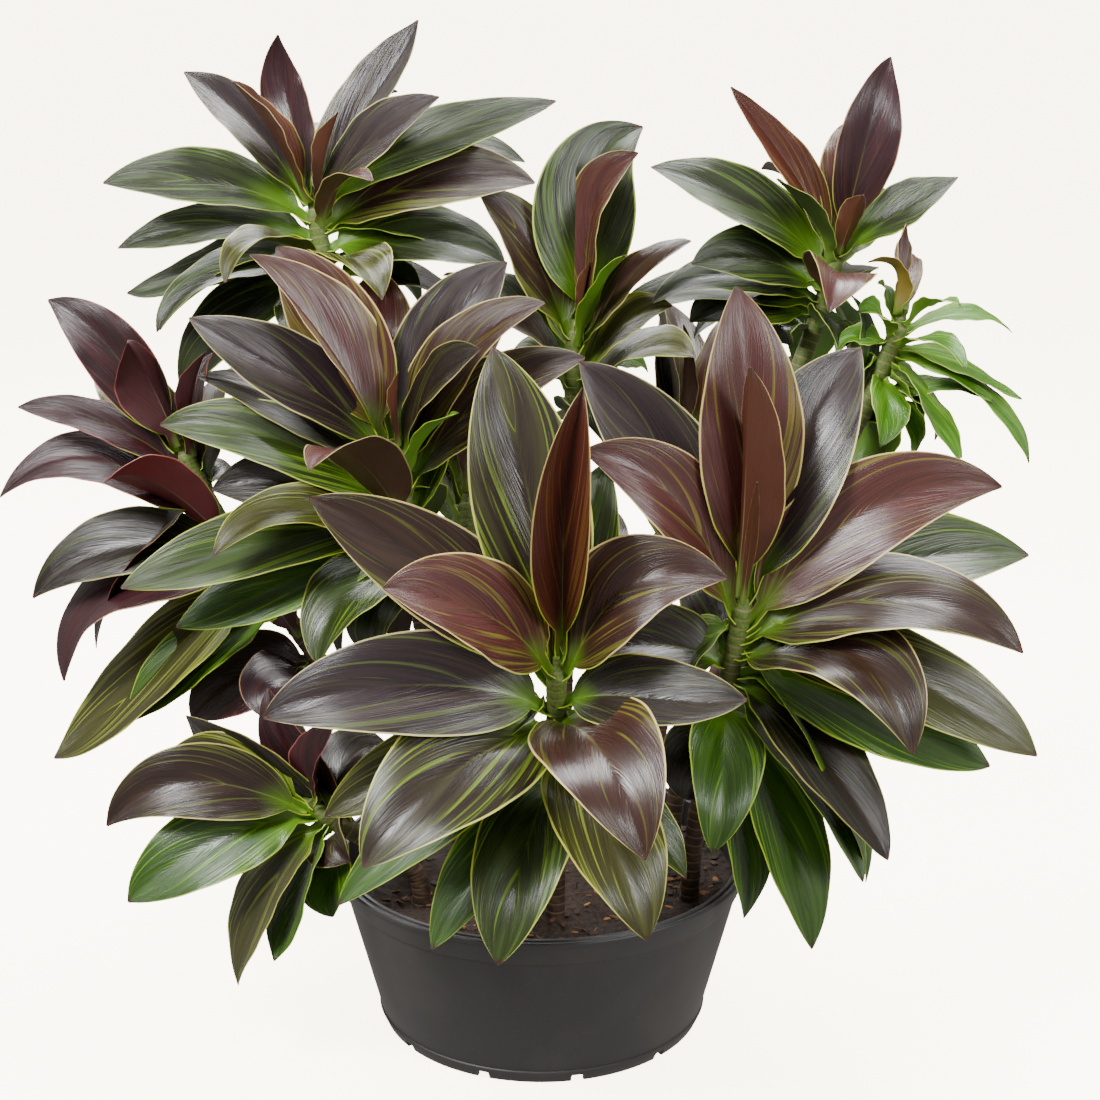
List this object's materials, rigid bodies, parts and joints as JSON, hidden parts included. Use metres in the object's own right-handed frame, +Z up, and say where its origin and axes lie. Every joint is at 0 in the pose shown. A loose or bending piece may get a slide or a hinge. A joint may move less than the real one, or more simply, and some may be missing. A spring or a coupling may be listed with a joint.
{
  "type": "potted cordyline",
  "caption": "Bushy potted cordyline: upright canes with heads of broad, striped bronze and green leaves in a low round nursery pan.",
  "frame": {"origin": "middle of the flat centre foot under the pot, on the surface that the pot stands on", "axes": "+Z up, -Y towards the viewer of the front side, +X to that viewer's right"},
  "size_m": [0.7369, 0.5752, 0.6997],
  "materials": {
    "pot": "satin",
    "soil": "matte",
    "shoot_front": "satin",
    "shoot_right": "satin",
    "shoot_left": "satin",
    "shoot_top_left": "satin",
    "shoot_top_middle": "satin",
    "shoot_top_right": "satin",
    "shoot_far_right": "satin",
    "shoot_far_left": "satin",
    "shoot_low_left": "satin",
    "shoot_back_left": "satin",
    "shoot_back_right": "satin"
  },
  "bodies": {
    "root": {"pot": "pot", "soil": "soil", "shoot_front": "shoot_front", "shoot_right": "shoot_right", "shoot_left": "shoot_left", "shoot_top_left": "shoot_top_left", "shoot_top_middle": "shoot_top_middle", "shoot_top_right": "shoot_top_right", "shoot_far_right": "shoot_far_right", "shoot_far_left": "shoot_far_left", "shoot_low_left": "shoot_low_left", "shoot_back_left": "shoot_back_left", "shoot_back_right": "shoot_back_right"}
  },
  "joints": []
}
